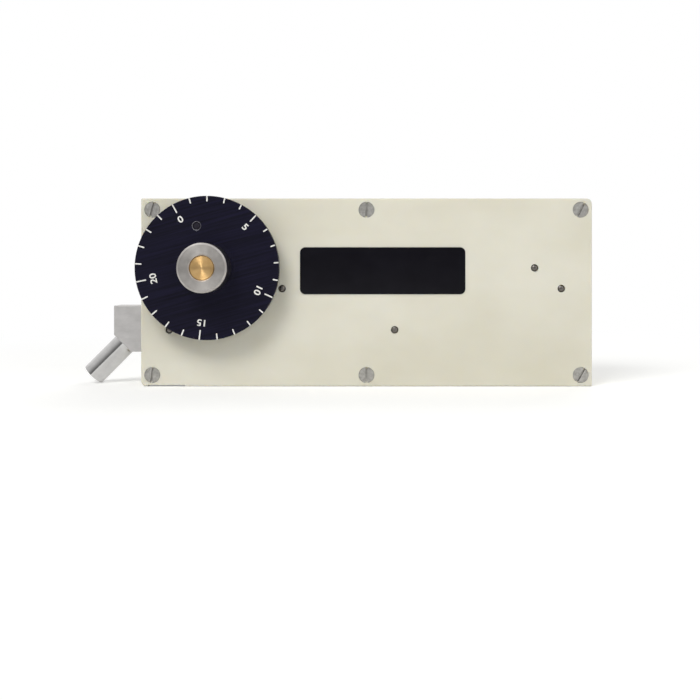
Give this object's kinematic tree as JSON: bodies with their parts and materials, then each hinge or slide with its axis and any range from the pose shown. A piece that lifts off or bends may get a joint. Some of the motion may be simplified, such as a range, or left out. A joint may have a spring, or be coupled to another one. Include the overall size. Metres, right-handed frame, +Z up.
{
  "type": "coating scratch tester",
  "caption": "Hand-held scratch tester: slim plastic case, numbered load dial with a steel hub, and a sprung arm that presses a slanted steel tool onto a coated surface.",
  "frame": {"origin": "middle of the case's base, on the surface that it slides on", "axes": "+X along the case away from the tool, -Y out of the dial face, +Z up"},
  "size_m": [0.2745, 0.072, 0.1005],
  "materials": {
    "case_plastic": "satin",
    "screw_steel": "satin",
    "pin_steel": "satin",
    "label_black": "gloss",
    "dial_black": "satin anodised",
    "scale_paint": "matt",
    "hub_steel": "turned",
    "shaft_brass": "turned",
    "bush_bronze": "satin",
    "washer_fibre": "matt",
    "cam_steel": "satin",
    "arm_aluminium": "matt milled",
    "tool_steel": "polished",
    "black_oxide_steel": "black oxide",
    "spring_steel": "satin"
  },
  "bodies": {
    "case": {"front_plate": "case_plastic", "rear_plate": "case_plastic", "top_rail": "case_plastic", "bottom_rail": "case_plastic", "left_wall": "case_plastic", "right_wall": "case_plastic", "front_screws": "screw_steel", "rear_screws": "screw_steel", "label": "label_black", "front_bush": "bush_bronze", "rear_bush": "bush_bronze", "friction_washer": "washer_fibre", "fixed_stop_pin": "pin_steel", "follower_pivot_pin": "pin_steel", "arm_stop_pin": "pin_steel", "arm_pivot_pin": "pin_steel", "balance_spring_pin": "pin_steel", "balance_anchor_pin": "pin_steel", "balance_spring": "spring_steel", "spring_spacers": "bush_bronze"},
    "dial": {"dial_disc": "dial_black", "dial_hub": "hub_steel", "hub_set_screw": "black_oxide_steel", "hub_screws": "screw_steel", "dial_shaft": "shaft_brass", "dial_stop_pin": "black_oxide_steel", "load_cam": "cam_steel", "cam_pin": "pin_steel"},
    "follower": {"follower_arm": "cam_steel", "follower_bush": "bush_bronze", "follower_pin": "pin_steel"},
    "arm": {"tool_arm": "arm_aluminium", "arm_bush": "bush_bronze", "scratch_tool": "tool_steel", "tool_set_screw": "black_oxide_steel", "load_spring": "spring_steel"}
  },
  "joints": [
    {"name": "dial_turn", "type": "hinge", "parent": "case", "child": "dial", "pos_m": [-0.083, 0, 0.063], "axis": [0, -1, 0], "range_deg": [-32, 305]},
    {"name": "follower_swing", "type": "hinge", "parent": "case", "child": "follower", "pos_m": [-0.045, 0, 0.052], "axis": [0, -1, 0], "range_deg": [-0.67, 6.36], "deforming": ["load_spring"]},
    {"name": "arm_pivot", "type": "hinge", "parent": "case", "child": "arm", "pos_m": [0.015, 0, 0.03], "axis": [0, -1, 0], "range_deg": [-0.95, 0.95], "stiffness_Nm_per_rad": 20, "springref_deg": -0.42, "deforming": ["load_spring", "balance_spring"]}
  ],
  "couplings": [
    {"joint": "follower_swing", "follows": "dial_turn", "ratio": 0.020833}
  ]
}
